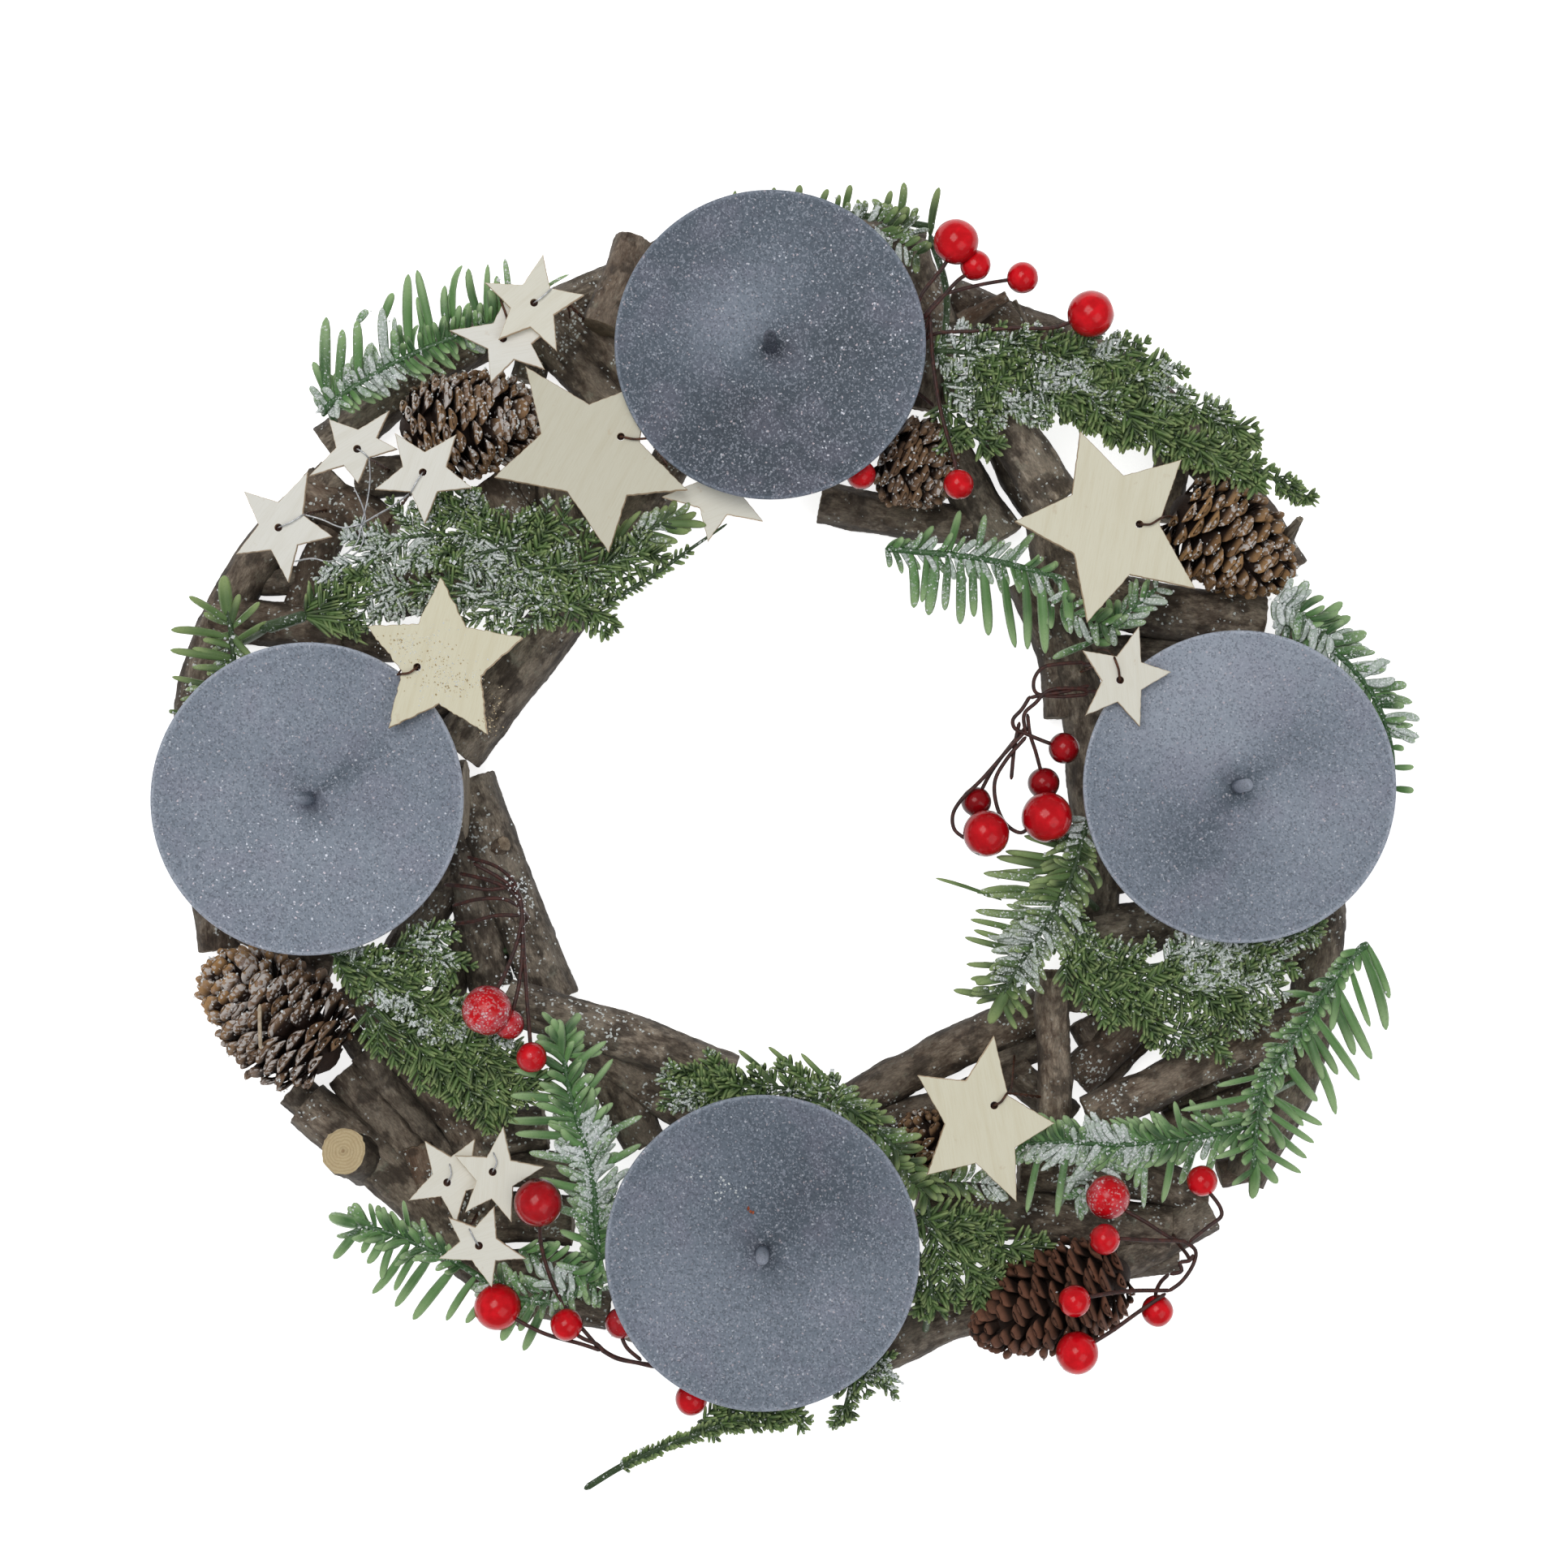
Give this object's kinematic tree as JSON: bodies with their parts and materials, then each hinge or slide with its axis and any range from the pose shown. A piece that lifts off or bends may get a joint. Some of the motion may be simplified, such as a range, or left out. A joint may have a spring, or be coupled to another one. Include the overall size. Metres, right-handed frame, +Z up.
{
  "type": "wreath candle holder",
  "caption": "Round twig wreath candle holder with spiked metal candle plates, trimmed with pine cones, plywood stars, berry picks and frosted artificial greenery around an open centre.",
  "frame": {"origin": "middle of the wreath's outer box, on the surface that it lies on", "axes": "+Z up, out of the wreath's face; +Y towards the top plate of the picture, +X towards its right plate"},
  "size_m": [0.314, 0.3262, 0.0538],
  "materials": {
    "bark": "natural dark grey-brown bark with pale sawn ends and frost specks",
    "plywood": "bare pale plywood, laser cut",
    "cone_scales": "natural pine cone, dry, frosted tips",
    "plate_paint": "slate blue-grey paint with fine glitter",
    "berry_lacquer": "glossy red lacquer, brown wrapped wire stems",
    "fir_plastic": "moulded green fir needles with white frost",
    "cypress_plastic": "moulded dark green cypress sprays with heavy white frost"
  },
  "bodies": {
    "wreath": {"berry_pick_bottom_right": "berry_lacquer", "berry_pick_left": "berry_lacquer", "berry_pick_lower_left": "berry_lacquer", "berry_pick_right_inner": "berry_lacquer", "berry_pick_top": "berry_lacquer", "billet_right_lower": "bark", "billet_under_plate_bottom": "bark", "billet_under_plate_left": "bark", "billet_under_plate_right": "bark", "billet_under_plate_top": "bark", "cone_bottom": "cone_scales", "cone_bottom_right": "cone_scales", "cone_left_lower": "cone_scales", "cone_right": "cone_scales", "cone_top": "cone_scales", "cone_upper_left": "cone_scales", "cypress_pick_bottom_inner": "cypress_plastic", "cypress_pick_bottom_outer": "cypress_plastic", "cypress_pick_left_lower": "cypress_plastic", "cypress_pick_right_lower": "cypress_plastic", "cypress_pick_top_right": "cypress_plastic", "cypress_pick_upper_left": "cypress_plastic", "fir_pick_left": "fir_plastic", "fir_pick_lower_left": "fir_plastic", "fir_pick_lower_right": "fir_plastic", "fir_pick_right_inner": "fir_plastic", "fir_pick_right_outer": "fir_plastic", "star_small_lower_left_a": "plywood", "star_small_lower_left_b": "plywood", "star_small_top_left_rear": "plywood", "star_under_plate_top": "plywood", "twig_bottom_left_inner": "bark", "twig_bottom_outer": "bark", "twig_bottom_right_inner": "bark", "twig_left_inner_lower": "bark", "twig_left_inner_upper": "bark", "twig_left_outer": "bark", "twig_lower_left_outer": "bark", "twig_right_inner": "bark", "twig_right_lower": "bark", "twig_right_outer": "bark", "twig_right_upright": "bark", "twig_top_inner": "bark", "twig_top_outer": "bark", "twig_top_right_inner": "bark", "twig_top_right_outer": "bark"},
    "plate_top": {"candle_plate_top": "plate_paint"},
    "plate_right": {"candle_plate_right": "plate_paint"},
    "plate_bottom": {"candle_plate_bottom": "plate_paint"},
    "plate_left": {"candle_plate_left": "plate_paint"},
    "large_star_upper_left": {"star_large_upper_left": "plywood"},
    "large_star_right": {"star_large_right": "plywood"},
    "large_star_left": {"star_large_left": "plywood"},
    "large_star_lower_right": {"star_large_lower_right": "plywood"},
    "small_star_right": {"star_small_right": "plywood"},
    "small_star_top_left_front": {"star_small_top_left_front": "plywood"},
    "small_star_left_upper": {"star_small_left_upper": "plywood"},
    "small_star_left_middle": {"star_small_left_middle": "plywood"},
    "small_star_left_lower": {"star_small_left_lower": "plywood"},
    "small_star_lower_left_c": {"star_small_lower_left_c": "plywood"}
  },
  "joints": [
    {"name": "plate_top_turn", "type": "hinge", "parent": "wreath", "child": "plate_top", "pos_m": [-0.00178, 0.11889, 0.0348], "axis": [0, 0, 1], "continuous": true},
    {"name": "plate_right_turn", "type": "hinge", "parent": "wreath", "child": "plate_right", "pos_m": [0.11393, 0.00927, 0.0348], "axis": [0, 0, 1], "continuous": true},
    {"name": "plate_bottom_turn", "type": "hinge", "parent": "wreath", "child": "plate_bottom", "pos_m": [-0.00365, -0.10511, 0.0348], "axis": [0, 0, 1], "continuous": true},
    {"name": "plate_left_turn", "type": "hinge", "parent": "wreath", "child": "plate_left", "pos_m": [-0.1159, 0.00626, 0.0348], "axis": [0, 0, 1], "continuous": true},
    {"name": "large_star_upper_left_flap", "type": "hinge", "parent": "wreath", "child": "large_star_upper_left", "pos_m": [-0.03417, 0.09476, 0.0364], "axis": [-0.2318, 0.9728, 0], "range_deg": [0, 18]},
    {"name": "large_star_right_flap", "type": "hinge", "parent": "wreath", "child": "large_star_right", "pos_m": [0.09443, 0.07415, 0.0382], "axis": [-0.0072, 1, 0], "range_deg": [0, 18]},
    {"name": "large_star_left_flap", "type": "hinge", "parent": "wreath", "child": "large_star_left", "pos_m": [-0.09225, 0.03753, 0.042], "axis": [0.257, -0.9664, 0], "range_deg": [0, 15]},
    {"name": "large_star_lower_right_flap", "type": "hinge", "parent": "wreath", "child": "large_star_lower_right", "pos_m": [0.05688, -0.06683, 0.0362], "axis": [-0.7082, 0.706, 0], "range_deg": [0, 18]},
    {"name": "small_star_right_flap", "type": "hinge", "parent": "wreath", "child": "small_star_right", "pos_m": [0.08349, 0.04127, 0.0408], "axis": [-0.9541, -0.2994, 0], "range_deg": [0, 25]},
    {"name": "small_star_top_left_front_flap", "type": "hinge", "parent": "wreath", "child": "small_star_top_left_front", "pos_m": [-0.05643, 0.13314, 0.0374], "axis": [-0.7076, 0.7066, 0], "range_deg": [0, 25]},
    {"name": "small_star_left_upper_flap", "type": "hinge", "parent": "wreath", "child": "small_star_left_upper", "pos_m": [-0.1014, 0.09079, 0.0371], "axis": [0.6601, 0.7512, 0], "range_deg": [0, 25]},
    {"name": "small_star_left_middle_flap", "type": "hinge", "parent": "wreath", "child": "small_star_left_middle", "pos_m": [-0.09061, 0.08205, 0.039], "axis": [0.8018, -0.5975, 0], "range_deg": [0, 25]},
    {"name": "small_star_left_lower_flap", "type": "hinge", "parent": "wreath", "child": "small_star_left_lower", "pos_m": [-0.11786, 0.07695, 0.0352], "axis": [-0.517, 0.856, 0], "range_deg": [0, 25]},
    {"name": "small_star_lower_left_c_flap", "type": "hinge", "parent": "wreath", "child": "small_star_lower_left_c", "pos_m": [-0.07485, -0.107, 0.0386], "axis": [0.8842, -0.4671, 0], "range_deg": [0, 25]}
  ]
}
